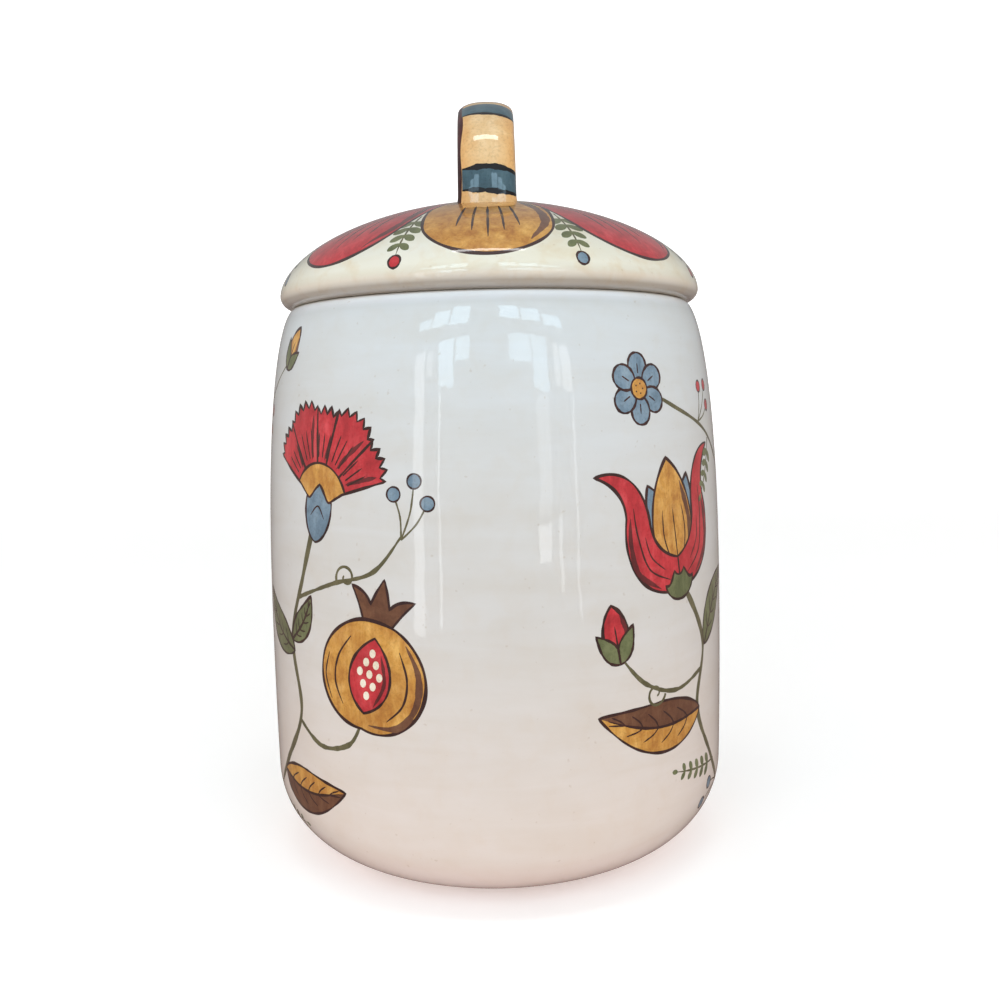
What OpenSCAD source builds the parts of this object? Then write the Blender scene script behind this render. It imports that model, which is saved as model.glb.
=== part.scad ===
// Biscuit jar: a glazed earthenware jar with a domed, loop-handled lid and a soft seal ring.
// Millimetres. +Z is up, the origin is the centre of the foot on the table, and the
// handle's loop stands in the YZ plane.

/* [Jar] */
// Widest radius of the jar
belly_r = 89; // [86:0.1:110]
// Height of the widest part above the table
belly_z = 67; // [55:1:95]
// Height of the jar from the table to its lip
jar_h = 208.7; // [170:1:260]
// How much narrower the wall is where it meets the rounded bottom corner
base_in = 0.3; // [0:0.1:3]
// Radius of the rounded bottom corner
corner_r = 31.7; // [20:0.1:34]
// Curvature of the side above the belly: 2 is a plain barrel, more keeps the shoulder fuller
side_power = 2.6; // [2:0.1:4]
// Thickness of the jar's wall
jar_wall = 6; // [4:0.1:8]
// Thickness of the jar's floor
floor_t = 7; // [5:0.1:12]

/* [Foot] */
// Width of the bare foot ring
foot_w = 6; // [4:0.1:10]
// Height of the foot ring under the rounded corner
foot_h = 1.6; // [0.8:0.1:3]
// How far the foot ring stands out past the middle of the rounded corner
foot_out = 3; // [1:0.1:6]
// How far the underside is hollowed inside the foot ring
foot_hollow = 2.4; // [1:0.1:3.5]

/* [Mouth] */
// Inner radius of the jar's mouth
mouth_r = 71.8; // [66:0.1:76]
// Width of the flat land on the lip that carries the lid
lip_land = 3.5; // [2:0.1:5]
// Depth of the straight bore inside the mouth
neck_h = 17; // [15:0.5:24]
// Height over which the bore opens out to the inner wall
neck_blend = 16; // [10:0.5:24]
// Radius of the lip's inner edge
lip_edge = 0.8; // [0.3:0.1:1.2]

/* [Lid] */
// How far the lid's rim stands out past the lip's land
lid_overhang = 5.5; // [5:0.1:9]
// How far the rounded underside of the rim turns in
rim_in = 5.4; // [3:0.1:5.6]
// Height from the lid's seat to its widest line
rim_rise = 4.6; // [2:0.1:6]
// Height of the dome above the lid's widest line
dome_h = 35.2; // [24:0.1:50]
// Fullness of the dome: 2 is an ellipse, less is closer to a cone
dome_power = 1.78; // [1.5:0.01:2.2]
// Thickness of the lid at the top of the dome
lid_wall = 5; // [4:0.1:7]
// Thickness of the lid's rim, from its widest line to the hollow inside
rim_wall = 7.2; // [6:0.1:9]
// Thickness of the ledge between the rim and the flange
ledge_t = 5.5; // [4:0.1:7]

/* [Flange and seal] */
// Gap between the flange and the mouth, which the seal bridges
flange_gap = 3.8; // [2.5:0.1:5]
// Thickness of the flange
flange_wall = 5.5; // [4.5:0.1:7]
// Depth of the flange below the lid's seat
flange_depth = 14; // [12.5:0.5:15]
// Distance from the lid's seat down to the seal's groove
groove_drop = 4.5; // [3:0.1:5]
// Height of the seal's groove
groove_h = 6; // [5:0.1:7]
// Depth of the seal's groove
groove_d = 2.4; // [1.5:0.1:3]
// Radial running clearance between the seal and the groove's floor
seal_run = 0.05; // [0.02:0.01:0.1]
// Clearance above and below the seal in its groove
seal_side = 0.15; // [0.1:0.01:0.4]
// Clearance between the seal's fins and the mouth
fin_gap = 0.3; // [0.2:0.05:0.6]
// How far the seal's band stands out of its groove
band_proud = 0.6; // [0.3:0.1:1]
// Number of fins on the seal
fin_count = 3; // [2:1:3]
// Thickness of each fin where it leaves the band
fin_root = 1.5; // [1.2:0.1:1.6]
// Thickness of each fin at its tip
fin_tip = 0.9; // [0.6:0.1:1.1]

/* [Handle] */
// Width of the handle's strap
strap_w = 20.8; // [14:0.1:26]
// Thickness of the handle's strap
strap_t = 9; // [6:0.1:11]
// Distance between the middles of the handle's two feet
handle_span = 70; // [56:1:80]
// Height of the handle above the top of the dome
handle_rise = 38.1; // [26:0.1:50]
// How much wider and thicker each foot is than the strap
foot_flare = 0.3; // [0:0.1:5]

/* [Hidden] */
$fn = 128;

arc_steps = 20;      // segments along each rounded stretch of an outline
waist_steps = 8;     // segments from the rounded corner up to the belly
side_steps = 36;     // segments from the belly over the shoulder to the lip
hollow_steps = 32;   // segments down the inner wall
dome_steps = 44;     // segments over the lid's dome
sweep_steps = 56;    // rings along the handle
section_steps = 28;  // corners round the handle's section
section_power = 2.3; // squareness of the strap's section
flare_power = 4;     // how low on the handle its feet flare out
foot_root = 4;       // length of each handle foot that the dome's surface trims off

lip_r = mouth_r + lip_land;           // outer edge of the lip's land
side_h = jar_h - belly_z;             // height of the side above the belly
corner_z = foot_h + corner_r;         // top of the rounded bottom corner
base_r = belly_r - base_in;           // radius there
corner_mid_r = base_r - corner_r;     // centre of the corner's arc
foot_r = corner_mid_r + foot_out;     // outer radius of the foot ring

floor_z = foot_hollow + floor_t;      // inside of the jar's floor
inner_corner_r = corner_r - jar_wall;
inner_corner_z = floor_z + inner_corner_r;
bore_z = jar_h - neck_h;              // bottom of the mouth's straight bore

seat_z = jar_h;                       // the lid rests on the lip
rim_r = lip_r + lid_overhang;         // widest radius of the lid
rim_z = seat_z + rim_rise;
apex_z = rim_z + dome_h;
hollow_r = rim_r - rim_wall;          // the lid's inner hollow
hollow_z = seat_z + ledge_t;
hollow_h = apex_z - lid_wall - hollow_z;

flange_r = mouth_r - flange_gap;
flange_in_r = flange_r - flange_wall;
flange_z = seat_z - flange_depth;
groove_top_z = seat_z - groove_drop;
groove_low_z = groove_top_z - groove_h;
groove_r = flange_r - groove_d;

foot_mid_y = handle_span / 2;
foot_z = dome_z(foot_mid_y) - foot_root;
arch_h = apex_z + handle_rise - strap_t / 2 - foot_z;

// Outer radius of the jar's side at height z, from the corner up to the lip.
function side_r(z) = z < belly_z
    ? belly_r - base_in * pow((belly_z - z) / (belly_z - corner_z), 2)
    : lip_r + (belly_r - lip_r) * sqrt(1 - pow(min(1, (z - belly_z) / side_h), side_power));

// Inner radius of the jar at height z: a wall's thickness in, closing to the mouth's bore.
function inner_r(z) =
    let (t = min(1, max(0, (z - bore_z + neck_blend) / neck_blend)),
         ease = t * t * (3 - 2 * t),
         wall_r = side_r(z) - jar_wall)
    wall_r * (1 - ease) + mouth_r * ease;

// Points on an elliptical arc about (cx, cz), from angle a0 to a1.
function arc(cx, cz, rx, rz, a0, a1) =
    [for (i = [0 : arc_steps])
        let (a = a0 + (a1 - a0) * i / arc_steps)
        [cx + rx * cos(a), cz + rz * sin(a)]];

// Points on a quarter of a superellipse from (rx, z0) up to the axis.
function dome_arc(rx, rz, z0) =
    [for (i = [0 : dome_steps])
        let (a = 90 * i / dome_steps)
        [rx * pow(cos(a), 2 / dome_power), z0 + rz * pow(sin(a), 2 / dome_power)]];

// Height of the lid's outer dome at radius r.
function dome_z(r) = rim_z + dome_h * pow(1 - pow(r / rim_r, dome_power), 1 / dome_power);

// A list in reverse order.
function reversed(list) = [for (i = [len(list) - 1 : -1 : 0]) list[i]];

// The jar: foot ring, rounded corner, barrel side and shoulder, lip, bore and hollow, turned about Z.
module jar_body() {
    foot_a = acos(foot_out / corner_r);
    foot = [
        [0, foot_hollow],
        [foot_r - foot_w - foot_hollow, foot_hollow],
        [foot_r - foot_w, 0],
        [foot_r, 0]];
    waist = [for (i = [1 : waist_steps])
        let (z = corner_z + (belly_z - corner_z) * i / waist_steps)
        [side_r(z), z]];
    side = [for (i = [1 : side_steps])
        let (a = 90 * i / side_steps)
        [lip_r + (belly_r - lip_r) * cos(a), belly_z + side_h * pow(sin(a), 2 / side_power)]];
    inside = [for (i = [0 : hollow_steps])
        let (z = bore_z + (inner_corner_z - bore_z) * i / hollow_steps)
        [inner_r(z), z]];
    inner_mid_r = inner_r(inner_corner_z) - inner_corner_r;
    outline = concat(
        foot,
        arc(corner_mid_r, corner_z, corner_r, corner_r, -foot_a, 0),
        waist,
        side,
        arc(mouth_r + lip_edge, jar_h - lip_edge, lip_edge, lip_edge, 90, 180),
        inside,
        arc(inner_mid_r, inner_corner_z, inner_corner_r, inner_corner_r, 0, -90),
        [[0, floor_z]]);
    color("ivory")
        rotate_extrude()
            polygon(outline);
}

// The lid: a flange with the seal's groove, the seat on the lip, a rounded rim and a hollow dome.
module lid() {
    flange = [
        [flange_in_r, flange_z],
        [flange_r, flange_z],
        [flange_r, groove_low_z],
        [groove_r, groove_low_z],
        [groove_r, groove_top_z],
        [flange_r, groove_top_z],
        [flange_r, seat_z]];
    outline = concat(
        flange,
        rim_and_dome(),
        reversed(dome_arc(hollow_r, hollow_h, hollow_z)),
        [[flange_in_r, hollow_z]]);
    color("antiquewhite")
        rotate_extrude()
            polygon(outline);
}

// The lid's outside, from the seat round the rim and up to the top of the dome.
function rim_and_dome() = concat(
    arc(rim_r - rim_in, rim_z, rim_in, rim_rise, -90, 0),
    dome_arc(rim_r, dome_h, rim_z));

// The handle: a strap swept along half an ellipse, its flared feet shaped to the dome they stand on.
module lid_handle() {
    color("goldenrod")
        difference() {
            strap();
            rotate_extrude()
                polygon(concat([[0, seat_z]], rim_and_dome()));
        }
}

// The strap before its feet are shaped, as rings of points joined by faces.
module strap() {
    rings = [for (i = [0 : sweep_steps]) strap_ring(180 * i / sweep_steps)];
    n = section_steps;
    sides = [for (i = [0 : sweep_steps - 1], j = [0 : n - 1])
        let (k = (j + 1) % n)
        [i * n + j, i * n + k, (i + 1) * n + k, (i + 1) * n + j]];
    first_cap = [for (j = [n - 1 : -1 : 0]) j];
    last_cap = [for (j = [0 : n - 1]) sweep_steps * n + j];
    polyhedron(
        points = [for (ring = rings, p = ring) p],
        faces = concat(sides, [first_cap, last_cap]));
}

// One ring of the strap at angle a along its arch, which is 0 and 180 at the feet.
function strap_ring(a) =
    let (flare = foot_flare * pow(1 - sin(a), flare_power),
         along = unit([0, foot_mid_y * sin(a), arch_h * cos(a)]),
         outward = [0, -along[2], along[1]],
         centre = [0, -foot_mid_y * cos(a), foot_z + arch_h * sin(a)],
         half_w = (strap_w + flare) / 2,
         half_t = (strap_t + flare) / 2)
    [for (j = [0 : section_steps - 1])
        let (b = 360 * j / section_steps)
        centre + [half_w * squared(cos(b)), 0, 0] + outward * half_t * squared(sin(b))];

// A vector's direction.
function unit(v) = v / norm(v);

// A cosine or sine reshaped so that the section is a soft-cornered rectangle.
function squared(c) = sign(c) * pow(abs(c), 2 / section_power);

// The seal: a band in the flange's groove with fins that reach for the mouth.
module seal_ring() {
    band_h = groove_h - 2 * seal_side;
    band_z = groove_low_z + seal_side;
    band_in_r = groove_r + seal_run;
    band_out_r = flange_r + band_proud;
    fin_r = mouth_r - fin_gap;
    fin_pitch = (band_h - fin_root) / (fin_count - 1);
    fins = [for (i = [0 : fin_count - 1])
        let (z = band_z + fin_root / 2 + i * fin_pitch)
        each [
            [band_out_r, z - fin_root / 2],
            [fin_r, z - fin_tip / 2],
            [fin_r, z + fin_tip / 2],
            [band_out_r, z + fin_root / 2]]];
    outline = concat([[band_in_r, band_z]], fins, [[band_in_r, band_z + band_h]]);
    color("whitesmoke")
        rotate_extrude()
            polygon(outline);
}

jar_body();
lid();
lid_handle();
seal_ring();
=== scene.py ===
"""Biscuit jar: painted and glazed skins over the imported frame, with its camera, light and floor.

Lengths are millimetres until a mesh, a light or the camera is made, and degrees run round the jar
from its front (-Y) towards the viewer's right (+X).
"""

from contextlib import contextmanager
import math

import bpy
import numpy as np
from mathutils import Euler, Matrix, Vector, geometry, kdtree


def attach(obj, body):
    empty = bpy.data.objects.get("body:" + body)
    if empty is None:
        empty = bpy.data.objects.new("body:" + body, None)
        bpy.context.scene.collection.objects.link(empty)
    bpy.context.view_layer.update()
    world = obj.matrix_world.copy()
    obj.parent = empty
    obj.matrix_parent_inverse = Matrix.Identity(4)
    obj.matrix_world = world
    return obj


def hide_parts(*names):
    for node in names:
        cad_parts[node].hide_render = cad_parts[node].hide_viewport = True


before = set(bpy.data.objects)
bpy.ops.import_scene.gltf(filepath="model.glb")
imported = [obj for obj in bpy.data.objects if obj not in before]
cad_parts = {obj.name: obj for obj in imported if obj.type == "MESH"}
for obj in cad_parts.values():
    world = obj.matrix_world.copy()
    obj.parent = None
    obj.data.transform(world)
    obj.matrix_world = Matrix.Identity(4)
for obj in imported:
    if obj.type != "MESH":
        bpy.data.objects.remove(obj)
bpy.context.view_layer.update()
MM = 0.001

# ---- the jar's sizes ----

BELLY_R, BELLY_Z = 89.0, 67.0
JAR_H = 208.7
BASE_IN, SIDE_POWER = 0.3, 2.6
CORNER_R = 31.7
JAR_WALL, FLOOR_T = 6.0, 7.0
FOOT_W, FOOT_H, FOOT_OUT, FOOT_HOLLOW = 6.0, 1.6, 3.0, 2.4
MOUTH_R, LIP_LAND = 71.8, 3.5
NECK_H, NECK_BLEND, LIP_EDGE = 17.0, 16.0, 0.8

LID_OVERHANG, RIM_IN, RIM_RISE = 5.5, 5.4, 4.6
DOME_H, DOME_POWER = 35.2, 1.78
LID_WALL, RIM_WALL, LEDGE_T = 5.0, 7.2, 5.5

FLANGE_GAP, FLANGE_WALL, FLANGE_DEPTH = 3.8, 5.5, 14.0
GROOVE_DROP, GROOVE_H, GROOVE_D = 4.5, 6.0, 2.4
SEAL_RUN, SEAL_SIDE, BAND_PROUD, FIN_GAP = 0.05, 0.15, 0.6, 0.3
FIN_COUNT, FIN_ROOT, FIN_TIP = 3, 1.5, 0.9

STRAP_W, STRAP_T = 20.8, 9.0
HANDLE_SPAN, HANDLE_RISE = 70.0, 38.1
FOOT_FLARE, FLARE_POWER, FOOT_ROOT = 0.3, 4, 4.0
SECTION_POWER = 2.3

CORNER_Z = FOOT_H + CORNER_R
CORNER_MID_R = BELLY_R - BASE_IN - CORNER_R
FOOT_R = CORNER_MID_R + FOOT_OUT
LIP_R = MOUTH_R + LIP_LAND
SIDE_H = JAR_H - BELLY_Z
BORE_Z = JAR_H - NECK_H
FLOOR_Z = FOOT_HOLLOW + FLOOR_T
RIM_R, RIM_Z = LIP_R + LID_OVERHANG, JAR_H + RIM_RISE
APEX_Z = RIM_Z + DOME_H
HANDLE_TOP = APEX_Z + HANDLE_RISE
HOLLOW_R, HOLLOW_Z = RIM_R - RIM_WALL, JAR_H + LEDGE_T
HOLLOW_H = APEX_Z - LID_WALL - HOLLOW_Z
FLANGE_R = MOUTH_R - FLANGE_GAP
FLANGE_IN_R = FLANGE_R - FLANGE_WALL
FLANGE_LOW_Z = JAR_H - FLANGE_DEPTH
GROOVE_TOP_Z = JAR_H - GROOVE_DROP
GROOVE_LOW_Z = GROOVE_TOP_Z - GROOVE_H
GROOVE_R = FLANGE_R - GROOVE_D

# How round the hidden corners are, where the CAD solid has them sharp.
FOOT_SOFT, FLANGE_SOFT, FIN_SOFT = 0.8, 0.5, 0.35

# ---- camera ----

CAMERA_BACK, CAMERA_UP = 400.5, 174.4   # from the jar's axis, and above the table
CAMERA_PITCH = 0.1039                   # radians below level
CAMERA_YAW = -0.006
CAMERA_ROLL = -0.0219
FOCAL_SHARE = 0.99748                   # focal length over the frame's width
SENSOR = 36.0

camera_data = bpy.data.cameras.new("camera")
camera_data.sensor_width = SENSOR
camera_data.lens = SENSOR * FOCAL_SHARE
camera_data.clip_start = 0.02
camera = bpy.data.objects.new("camera", camera_data)
camera.location = Vector((0, -CAMERA_BACK, CAMERA_UP)) * MM
look = Euler((math.pi / 2 - CAMERA_PITCH, 0, CAMERA_YAW)).to_matrix()
camera.rotation_euler = (look @ Euler((0, 0, CAMERA_ROLL)).to_matrix()).to_euler()
bpy.context.collection.objects.link(camera)
bpy.context.scene.camera = camera
bpy.context.scene.view_settings.view_transform = "Standard"

# ---- materials ----


def srgb(red, green, blue):
    """A colour picked as it looks on screen, 0 to 255, in Blender's linear terms."""
    def linear(c):
        c /= 255
        return c / 12.92 if c <= 0.04045 else ((c + 0.055) / 1.055) ** 2.4
    return (linear(red), linear(green), linear(blue), 1.0)


MIX_A, MIX_B, MIX_RESULT = 6, 7, 2   # the Mix node's colour sockets, whose names it uses more than once


class Nodes:
    """Short ways to add and join the nodes of a material or a world."""

    def __init__(self, owner, coordinate="Object"):
        self.tree = owner.node_tree
        self.place = self.add("TexCoord", coordinate, {})

    def feed(self, socket, value):
        """Set a socket to a number or a colour, or join another node's result to it."""
        if isinstance(value, bpy.types.NodeSocket):
            self.tree.links.new(value, socket)
        else:
            socket.default_value = value

    def add(self, kind, result, inputs, **settings):
        """The result of a new node, fed with inputs by the names or numbers of their sockets."""
        node = self.tree.nodes.new("ShaderNode" + kind)
        for key, value in settings.items():
            setattr(node, key, value)
        for socket, value in inputs.items():
            self.feed(node.inputs[socket], value)
        return node.outputs[result]

    def noise(self, scale, detail=3.0, rough=0.55, warp=0.0, stretch=(1, 1, 1), turn=(0, 0, 0)):
        """Noise between 0 and 1, its scale in features per metre. turn is in radians."""
        place = self.add("Mapping", "Vector", {"Vector": self.place, "Scale": stretch, "Rotation": turn})
        return self.add("TexNoise", "Fac", {
            "Vector": place, "Scale": scale, "Detail": detail, "Roughness": rough, "Distortion": warp})

    def ramp(self, value, *stops):
        """A colour ramp of (place, colour) stops."""
        result = self.add("ValToRGB", "Color", {"Fac": value})
        elements = result.node.color_ramp.elements
        while len(elements) < len(stops):
            elements.new(0.5)
        for element, (place, colour) in zip(elements, stops):
            element.position = place
            element.color = colour
        return result

    def span(self, value, low, high, to_low=0.0, to_high=1.0):
        """A value from low to high, spread evenly over another range and held inside it."""
        return self.add("MapRange", "Result", {
            "Value": value, "From Min": low, "From Max": high, "To Min": to_low, "To Max": to_high})

    def blend(self, factor, a, b, how="MIX"):
        """Colour a with colour b laid over it."""
        inputs = {"Factor": factor, MIX_A: a, MIX_B: b}
        return self.add("Mix", MIX_RESULT, inputs, data_type="RGBA", blend_type=how)

    def axis(self, name):
        """One axis of the place; on the jar it is in metres, and Z is the height above the table."""
        return self.add("SeparateXYZ", name, {"Vector": self.place})

    def size(self, value):
        """A value without its sign."""
        return self.add("Math", "Value", {0: value}, operation="ABSOLUTE")

    def bump(self, *layers):
        """A normal for relief, each layer a (height, distance in metres) pair laid over the last."""
        last = {}
        for height, distance in layers:
            last["Normal"] = self.add("Bump", "Normal", {
                "Strength": 1.0, "Distance": distance, "Height": height, **last})
        return last["Normal"]


class Material(Nodes):
    """A new material around one Principled shader."""

    def __init__(self, name):
        self.material = bpy.data.materials.new(name)
        self.material.use_nodes = True
        self.material.node_tree.nodes.clear()
        super().__init__(self.material)
        output = self.tree.nodes.new("ShaderNodeOutputMaterial")
        surface = self.add("BsdfPrincipled", "BSDF", {})
        self.feed(output.inputs["Surface"], surface)
        self.shader = surface.node

    def set(self, **values):
        """What the shader's own sockets hold: what is the same all over, or another node's result."""
        for key, value in values.items():
            socket = key.replace("_", " ").title().replace("Ior", "IOR")
            self.feed(self.shader.inputs[socket], value)


# Relief, in metres: the glaze's slow waves and fine peel, and the grain of bare clay and of silicone.
WAVES, PEEL, CLAY_GRAIN, SEAL_GRAIN = 0.00035, 0.000012, 0.00006, 0.00003
HIGHLIGHT_LOW, HIGHLIGHT_HIGH = HANDLE_TOP - 2.1, HANDLE_TOP - 0.5   # where the painted highlight over the handle's top starts and where it is full
EDGE_NEAR, EDGE_FAR = 2.0, 9.5   # off the strap's middle, where its edge tint starts and where it is full
BRUSH_LEAN = 0.6                 # radians between the drag of the brush and upright
WHITE = (1.0, 1.0, 1.0, 1.0)


def glassy(m, coat=1.0):
    """The clear glaze that lies over body and paint alike."""
    normal = m.bump((m.noise(26, 2.0, 0.5), WAVES), (m.noise(420, 2.0, 0.5), PEEL))
    m.set(roughness=0.42, coat_weight=coat, coat_roughness=0.01, coat_ior=1.5, specular_ior_level=0.35,
          normal=normal, coat_normal=normal)


def body_glaze(name, tones, shade, mottle):
    """Off-white glaze, washed, mottled and speckled. tones are (height in mm, colour) pairs, which also paint
    light and shade by height.
    """
    m = Material(name)
    low, high = tones[0][0], tones[-1][0]
    stops = [((z - low) / (high - low), srgb(*colour)) for z, colour in tones]
    # Colour by height, with the painted light and shade of the tones.
    rise = m.ramp(m.span(m.axis("Z"), low * MM, high * MM), *stops)
    wash = m.noise(16, 4.0, 0.6, 0.4, stretch=(1, 1, 7))
    cloud = m.noise(30, 3.0, 0.5)
    tone = m.blend(m.span(wash, 0.35, 0.75, 0.0, 0.34), rise, shade, "MULTIPLY")
    tone = m.blend(m.span(cloud, 0.45, 0.8, 0.0, 0.24), tone, shade, "MULTIPLY")
    spots = m.noise(120, 3.0, 0.62, 0.5)
    tone = m.blend(m.span(spots, 0.48, 0.72, 0.0, mottle), tone, srgb(242, 216, 178), "MULTIPLY")
    speck = m.ramp(m.noise(520, 1.0, 0.4), (0.74, WHITE), (0.8, (0.72, 0.6, 0.48, 1)))
    m.set(base_color=m.blend(0.35, tone, speck, "MULTIPLY"))
    glassy(m)
    return m.material


def brushed_paint(name, deep, full, thin, grain=150, coat=1.0, edge=None, top_highlight=None):
    """Underglaze colour laid on with a brush: darker where it pooled, thin where it dragged.

    edge is a tint off the middle of the strap; the last argument is a painted highlight, a pale tone over the
    top of its loop.
    """
    m = Material(name)
    pool = m.noise(grain, 5.0, 0.66, 0.6)
    drag = m.noise(grain * 2.2, 3.0, 0.6, 0.2, stretch=(1, 1, 0.22), turn=(0, BRUSH_LEAN, 0))
    colour = m.ramp(pool, (0.28, deep), (0.48, full), (0.74, thin))
    streaks = m.ramp(drag, (0.30, deep), (0.55, full), (0.8, thin))
    colour = m.blend(0.5, colour, streaks)
    drift = m.noise(62, 2.0, 0.5)
    colour = m.blend(m.span(drift, 0.42, 0.68, 0.0, 0.42), colour, deep)
    fleck = m.ramp(m.noise(1100, 2.0, 0.6), (0.34, (0.80, 0.78, 0.76, 1)), (0.5, WHITE))
    colour = m.blend(0.7, colour, fleck, "MULTIPLY")
    if edge:
        colour = m.blend(m.span(m.size(m.axis("X")), EDGE_NEAR * MM, EDGE_FAR * MM), colour, edge, "MULTIPLY")
    # Painted highlight: paler over the top of the handle's loop.
    if top_highlight:
        colour = m.blend(m.span(m.axis("Z"), HIGHLIGHT_LOW * MM, HIGHLIGHT_HIGH * MM), colour, top_highlight)
    m.set(base_color=colour)
    glassy(m, coat)
    return m.material


def bare_clay(name):
    """Fired, unglazed clay."""
    m = Material(name)
    tone = m.ramp(m.noise(220, 4.0, 0.6), (0.3, srgb(196, 170, 148)), (0.7, srgb(222, 202, 184)))
    m.set(base_color=tone, roughness=0.85, specular_ior_level=0.25,
          normal=m.bump((m.noise(1500, 3.0, 0.6), CLAY_GRAIN)))
    return m.material


def silicone(name):
    """Milky seal rubber."""
    m = Material(name)
    tone = m.ramp(m.noise(90, 3.0, 0.5), (0.3, srgb(214, 214, 208)), (0.7, srgb(230, 230, 225)))
    m.set(base_color=tone, roughness=0.42, subsurface_weight=0.25, subsurface_scale=0.002,
          specular_ior_level=0.4, normal=m.bump((m.noise(700, 2.0, 0.5), SEAL_GRAIN)))
    return m.material


# Height in mm and colour: pink at the foot and cool above, partly the glaze's own colour and partly painted
# light, warm from the floor and cool from the window; and a painted highlight, pale towards the lip.
JAR_TONES_AND_PAINTED_LIGHT = (
    (2, (244, 214, 206)), (11, (229, 207, 199)), (22, (221, 205, 195)), (101, (204, 198, 193)),
    (200, (200, 203, 204)), (204.8, (200, 203, 204)), (206.2, (216, 218, 221)), (206.8, (228, 231, 234)),
    (207.5, (242, 244, 246)), (208.3, (250, 250, 250)), (208.5, (206, 198, 190)))
# Cream above, with painted shade darkening the rim's underside and a darker painted shadow line at the seat.
LID_TONES_AND_PAINTED_SHADE = (
    (208.4, (212, 206, 192)), (209.0, (128, 116, 106)), (209.6, (156, 146, 137)), (210.2, (168, 158, 148)),
    (211, (166, 156, 146)), (212.1, (195, 185, 174)), (213.3, (209, 198, 184)), (215, (214, 208, 193)),
    (217, (221, 217, 203)))
# Each paint where it pooled, at its full strength, and where it dragged thin.
BRUSHED = {
    "cream": ((214, 196, 168), (230, 216, 194), (238, 230, 214)),
    "crimson": ((146, 22, 30), (194, 40, 48), (216, 80, 84)),
    "ochre": ((152, 86, 22), (200, 142, 58), (240, 192, 110)),
    "umber": ((82, 46, 28), (110, 68, 44), (138, 96, 66)),
    "blue": ((84, 104, 120), (112, 134, 150), (150, 166, 176)),
    "slate": ((58, 74, 88), (74, 92, 106), (96, 114, 126)),
    "olive": ((78, 82, 48), (106, 110, 70), (138, 140, 98)),
    "stem": ((74, 68, 42), (98, 90, 60), (126, 116, 82)),
    "outline": ((42, 20, 18), (58, 30, 26), (84, 48, 38)),
    "tan": ((212, 169, 113), (222, 187, 137), (237, 212, 169)),
    "band": ((40, 66, 78), (60, 90, 101), (98, 122, 128)),
    "maroon": ((74, 22, 22), (104, 30, 32), (130, 48, 46)),
    "cocoa": ((38, 8, 8), (62, 12, 13), (92, 26, 24)),
    "ink": ((8, 5, 7), (16, 9, 10), (40, 24, 24)),
}
BRUSHING = {
    # tan's last tone is a painted highlight, paler over the top of the handle.
    "tan": {"grain": 170, "edge": srgb(249, 226, 190), "top_highlight": srgb(237, 220, 190)},
    "band": {"grain": 120},
    "cocoa": {"coat": 0.5},
    "ink": {"coat": 0.5},
}
PAINTS = {name: brushed_paint(f"{name}_paint", *(srgb(*tone) for tone in tones), **BRUSHING.get(name, {}))
          for name, tones in BRUSHED.items()}
# Both glazes carry painted light and shade in their height tones.
PAINTS["jar"] = body_glaze("jar_glaze", JAR_TONES_AND_PAINTED_LIGHT, srgb(240, 232, 220), 0.08)
PAINTS["lid"] = body_glaze("lid_glaze", LID_TONES_AND_PAINTED_SHADE, srgb(243, 230, 196), 0.35)
PAINTS["clay"] = bare_clay("bare_clay")
PAINTS["seal"] = silicone("seal_silicone")

# ---- brushwork: lines and shapes on a flat canvas ----

STEP = 0.6   # spacing of the points along a painted edge


def xy(x, y):
    """Points from their two coordinates, each an array or one number for all."""
    return np.stack(np.broadcast_arrays(x, y), -1)


def shares(length, least):
    """Even shares of a line, a step apart and at least so many, without its end."""
    return np.linspace(0, 1, max(least, int(length / STEP)), endpoint=False)[:, None]


def curve(points):
    """A smooth line through points."""
    p = np.array(points, float)
    padded = np.vstack([p[:1], p, p[-1:]])
    out = []
    for a, b, c, d in zip(padded, p, p[1:], padded[3:]):
        t = shares(np.hypot(*(c - b)), 2)
        out.append(0.5 * (2 * b + (c - a) * t + (2 * a - 5 * b + 4 * c - d) * t ** 2
                          + (3 * b - a - 3 * c + d) * t ** 3))
    return np.vstack(out + [p[-1:]])


def corners(points):
    """A closed outline through points with its corners kept."""
    p = np.array(points, float)
    return np.vstack([a + (b - a) * shares(np.hypot(*(b - a)), 1) for a, b in zip(p, np.roll(p, -1, 0))])


def outline_of(start, *segments):
    """A closed outline of Bezier segments, each (control, control, end)."""
    out, a = [], np.array(start, float)
    for segment in segments:
        b, c, d = (np.array(p, float) for p in segment)
        t = shares(np.hypot(*(b - a)) + np.hypot(*(c - b)) + np.hypot(*(d - c)), 3)
        out.append((1 - t) ** 3 * a + 3 * (1 - t) ** 2 * t * b + 3 * (1 - t) * t ** 2 * c + t ** 3 * d)
        a = d
    return np.vstack(out)


def twofold(start, *half, top=(), close=()):
    """A closed outline, the same on both sides of x = 0, from the Bezier segments of one half.

    top joins the half to its mirror image where it ends off the middle, and close joins that image to
    the start. Both are control points, close with places between them where it has more than one segment.
    """
    points = [start] + [point for segment in half for point in segment]
    back = [(-x, y) for x, y in points[::-1]]
    points += [*top, *back] if top else back[1:]
    points += [*close, start] if close else []
    return outline_of(start, *(points[i: i + 3] for i in range(1, len(points), 3)))


def disc(x, y, radius, tall=1.0):
    """A closed round outline, its height tall times its width."""
    a = np.linspace(0, 2 * math.pi, max(12, int(2 * math.pi * radius / STEP)), endpoint=False)
    return xy(x + radius * np.cos(a), y + radius * tall * np.sin(a))


def left_of(line, closed=False):
    """The direction to the left of a line at each of its points."""
    along = np.roll(line, -1, 0) - np.roll(line, 1, 0) if closed else np.gradient(line, axis=0)
    along = along / np.maximum(np.hypot(*along.T), 1e-9)[:, None]
    return xy(-along[:, 1], along[:, 0])


SHADES = {"ochre": "umber", "crimson": "maroon", "blue": "slate"}


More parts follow.
